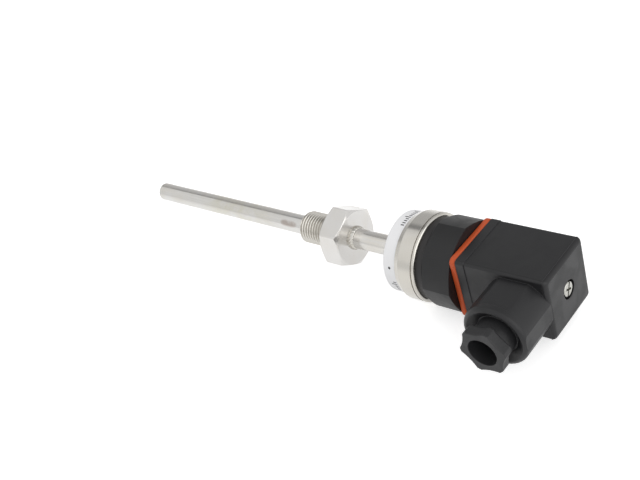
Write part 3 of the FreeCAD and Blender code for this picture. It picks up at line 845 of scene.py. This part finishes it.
lathe("head_cup", len(cup_outline), cup_columns, lambda row, angle: cup_outline[row],
      turned_sharp, "sensor", "head_steel", "housing")

# %% [markdown]
# ## The weld rings
# The tube is welded to the hexagon with a ring of overlapping drops, each frozen with a curved edge,
# and a second ring joins it to the head. Each drop could be a small solid of its own, but they melt
# into one another, and one rippled surface shows that better. Its outline is a quarter circle from
# the face to the tube. The height rises and falls once for each drop, and the drops lean the way the
# torch went. Their size varies a little, from a seeded random list, so that the ring comes out the
# same each time.

# %% Weld rings
drop_sizes = (0.55, 1.0)
drop_shift = 0.12
drop_lean = 0.5
columns_per_drop = 10
arc_rows = 9
weld_root = 0.0002
weld_sharp = 50.0


def weld_ring(node_name, face_x, far_x, drops, ripple, seed, fullness):
    """A rippled ring of weld from a face at face_x to the tube, which reaches towards far_x."""
    dice = random.Random(seed)
    sizes = [dice.uniform(*drop_sizes) for _ in range(drops)]
    shifts = [dice.uniform(-drop_shift, drop_shift) for _ in range(drops)]
    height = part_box(node_name)[1].z - bore_radius

    def place(row, angle):
        if row == arc_rows:
            return face_x, bore_radius - weld_root
        share = row / (arc_rows - 1)
        turn = share * math.pi / 2
        way = angle / (2 * math.pi) * drops + drop_lean * share
        drop = int(way) % drops
        phase = way % 1.0 + shifts[drop] * math.sin(math.pi * (way % 1.0))
        swell = 1.0 - ripple * sizes[drop] * (1.0 - math.sin(math.pi * phase)) * math.sin(math.pi * share)
        reach = math.sin(turn) * swell * fullness
        lift = math.cos(turn) * swell * fullness
        return between(face_x, far_x, reach), bore_radius + height * lift

    lathe(node_name + "_ripples", arc_rows + 1, drops * columns_per_drop, place,
          weld_sharp, "sensor", "weld", node_name)


bead_low, bead_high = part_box("weld_bead")
weld_ring("weld_bead", bead_low.x, bead_high.x, drops=22, ripple=0.26, seed=5, fullness=0.72)
head_weld_low, head_weld_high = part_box("housing_weld")
weld_ring("housing_weld", head_weld_high.x, head_weld_low.x, drops=30, ripple=0.20, seed=8, fullness=1.0)

# %% [markdown]
# ## The rounded end of the plug
# The solid housing ends in a plain bevel, and the real one in a quarter round. The whole housing could
# be made again as a mesh, but only its edge differs, so a ring laid over the bevel makes it round. It
# starts flush with the housing's sides, ends flush with its end face, and keeps its back inside the
# wall. Its corners are a little tighter where the bevel's own corners would otherwise show through.

# %% Rounded cap edge
cap_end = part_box("plug_housing")[1].x
cap_roll = 0.0016
cap_half_width = 0.01265
cap_corner = 0.0011
tight_corner = 0.00071
corner_release = 3.4
corner_steps = 8
roll_rows = 10
back_inset = 0.0003
side_inset = 0.0006
roll_sharp = 40.0


def rounded_square(x, half_width, corner):
    """Points round a square with rounded corners, at station x."""
    points = []
    for quarter in range(4):
        side_y = 1 if quarter in (0, 3) else -1
        side_z = 1 if quarter in (0, 1) else -1
        for step in range(corner_steps + 1):
            turn = math.pi / 2 * (quarter + step / corner_steps)
            y = side_y * (half_width - corner) + corner * math.cos(turn)
            z = side_z * (half_width - corner) + corner * math.sin(turn)
            points.append((x, y, z))
    return points


roll_start = cap_end - cap_roll
cap_points = []
for roll_row in range(roll_rows + 1):
    roll_turn = math.pi / 2 * roll_row / roll_rows
    over_bevel = cap_roll * (math.cos(roll_turn) + math.sin(roll_turn) - 1)
    cap_points += rounded_square(
        roll_start + cap_roll * math.sin(roll_turn),
        cap_half_width - cap_roll * (1 - math.cos(roll_turn)),
        min(cap_corner, tight_corner + corner_release * over_bevel))
cap_points += rounded_square(cap_end - back_inset, cap_half_width - cap_roll - back_inset, cap_corner)
cap_points += rounded_square(roll_start + back_inset, cap_half_width - side_inset, cap_corner)
skin_rows("cap_roll", cap_points, roll_rows + 3, roll_sharp, "plug", "black_plug")

# %% [markdown]
# ## The floor
# The sensor was photographed on plain white. The floor is a pale sheet that keeps the sensor's shadow.
# Stronger lamps could make it white, but they would bleach the sensor too. Instead the Light Path node
# tells apart who looks: the camera sees the floor lifted to white, and reflections see it lifted less.
# In reflections the lift is greater near the sensor and fades further off: a painted glow that covers
# the floor's shadow where the steel mirrors it. The lamps stay at a level at which colours come out as
# they are written.

# %% Floor sheet
floor_drop = 0.0002
floor_half = 4.0
floor_z = cad_low.z - floor_drop

floor_mesh = bpy.data.meshes.new("floor")
floor_corners = [
    (-floor_half, -floor_half, floor_z),
    (floor_half, -floor_half, floor_z),
    (floor_half, floor_half, floor_z),
    (-floor_half, floor_half, floor_z),
]
floor_mesh.from_pydata(floor_corners, [], [(0, 1, 2, 3)])
floor = bpy.data.objects.new("floor", floor_mesh)
bpy.context.scene.collection.objects.link(floor)
print("floor height in mm:", round(1000 * floor_z, 2))

# %% Floor material
camera_lift = 0.60
far_mirror_lift = 0.26
near_mirror_lift = 0.48
near_floor = (0.30, 0.05)


def ray_kinds(tree):
    """Two masks: rays straight from the camera, and rays from a reflection or through glass."""
    light_path = add_node(tree, "ShaderNodeLightPath").outputs
    mirrored = math_node(
        tree, "ADD", light_path["Is Glossy Ray"], light_path["Is Transmission Ray"], clamp=True)
    return light_path["Is Camera Ray"], mirrored


floor_tree, floor_shader = new_material(
    "floor", Base_Color=(0.80, 0.80, 0.80), Roughness=0.9, Specular_IOR_Level=0.1,
    Emission_Color=(1.0, 1.0, 1.0))
camera_ray, mirror_ray = ray_kinds(floor_tree)
floor_place = add_node(floor_tree, "ShaderNodeTexCoord").outputs["Object"]
floor_way = add_node(floor_tree, "ShaderNodeVectorMath", operation="LENGTH")
floor_tree.links.new(floor_place, floor_way.inputs[0])
# Painted glow: in reflections the floor is brighter near the sensor, over its shadow.
nearness = smooth_step(floor_tree, floor_way.outputs["Value"], *near_floor)
mirror_lift = math_node(floor_tree, "MULTIPLY", nearness, near_mirror_lift - far_mirror_lift)
mirror_lift = math_node(floor_tree, "ADD", mirror_lift, far_mirror_lift)
lift_seen = math_node(
    floor_tree, "ADD", math_node(floor_tree, "MULTIPLY", camera_ray, camera_lift),
    math_node(floor_tree, "MULTIPLY", mirror_ray, mirror_lift))
floor_tree.links.new(lift_seen, floor_shader.inputs["Emission Strength"])
floor_mesh.materials.append(materials["floor"])
print("floor lift for the camera:", camera_lift)

# %% [markdown]
# ## The world
# Soft light came from all round. An even sky would give it, but polished steel shows what stands round
# it, and an even sky makes it look flat. So in reflections the sky behind the sensor is dimmer, with a
# darker gap high up: the gap is the dark line along the tube. The end faces, which look to the right,
# keep a bright sky. The camera sees plain white, and matt surfaces get one even level.

# %% World
bright_sky = (0.93, 0.93, 0.93)
back_sky = (0.64, 0.64, 0.64)
gap_sky = (0.33, 0.33, 0.335)
back_start = (math.radians(-5), math.radians(20))
back_end = (math.radians(81), math.radians(76))
gap_start = (math.radians(58), math.radians(70))
right_end = (0.45, 0.1)
sky_level = 0.74
diffuse_sky = (sky_level, sky_level, sky_level)
white = (1.0, 1.0, 1.0)

world = bpy.data.worlds.new("studio")
bpy.context.scene.world = world
world.use_nodes = True
sky = world.node_tree
sky.nodes.clear()
sky_parts = add_node(sky, "ShaderNodeSeparateXYZ")
sky.links.new(add_node(sky, "ShaderNodeTexCoord").outputs["Generated"], sky_parts.inputs[0])
sky_angle = axis_angle(sky, sky_parts.outputs)
on_left = smooth_step(sky, sky_parts.outputs["X"], *right_end)
under_lamp = math_node(sky, "MULTIPLY", on_left, smooth_step(sky, sky_angle, *back_end))
in_back = math_node(sky, "MULTIPLY", under_lamp, smooth_step(sky, sky_angle, *back_start))
in_gap = math_node(sky, "MULTIPLY", under_lamp, smooth_step(sky, sky_angle, *gap_start))
glossy_sky = mix_colours(sky, in_back, bright_sky, back_sky)
glossy_sky = mix_colours(sky, in_gap, glossy_sky, gap_sky)
sky_camera, sky_mirror = ray_kinds(sky)
sky_colour = mix_colours(sky, sky_mirror, diffuse_sky, glossy_sky)
sky_colour = mix_colours(sky, sky_camera, sky_colour, white)
sky_light = add_node(sky, "ShaderNodeBackground")
sky.links.new(sky_colour, sky_light.inputs["Color"])
sky_end = add_node(sky, "ShaderNodeOutputWorld")
sky.links.new(sky_light.outputs["Background"], sky_end.inputs["Surface"])
print("world level:", sky_level)

# %% [markdown]
# ## The lamps
# Two large soft lamps give the shading: one beyond the plug's end and one above the front. Small lamps
# would give hard shadows and bright dots on the steel, and the photograph has neither. Both look at
# the middle of the sensor.

# %% Lamps
lamp_aim = Vector((0.05, 0.0, 0.0))


def soft_lamp(name, place, size, power):
    """A square soft lamp that looks at the middle of the sensor."""
    data = bpy.data.lights.new(name, "AREA")
    data.shape = "SQUARE"
    data.size = size
    data.energy = power
    lamp = bpy.data.objects.new(name, data)
    lamp.location = place
    lamp.rotation_mode = "QUATERNION"
    lamp.rotation_quaternion = (lamp_aim - Vector(place)).to_track_quat("-Z", "Y")
    bpy.context.scene.collection.objects.link(lamp)
    print(name, "side in m:", size)


soft_lamp("lamp_right", (1.00, -0.15, 0.35), size=1.3, power=5.6)
soft_lamp("lamp_above", (0.00, -0.70, 0.90), size=1.8, power=2.0)

# %% [markdown]
# ## Colour
# The Standard view shows colours as they are written. Other views bend them for a softer picture,
# and would hide a wrong one.

# %% Finish
bpy.context.scene.view_settings.view_transform = "Standard"
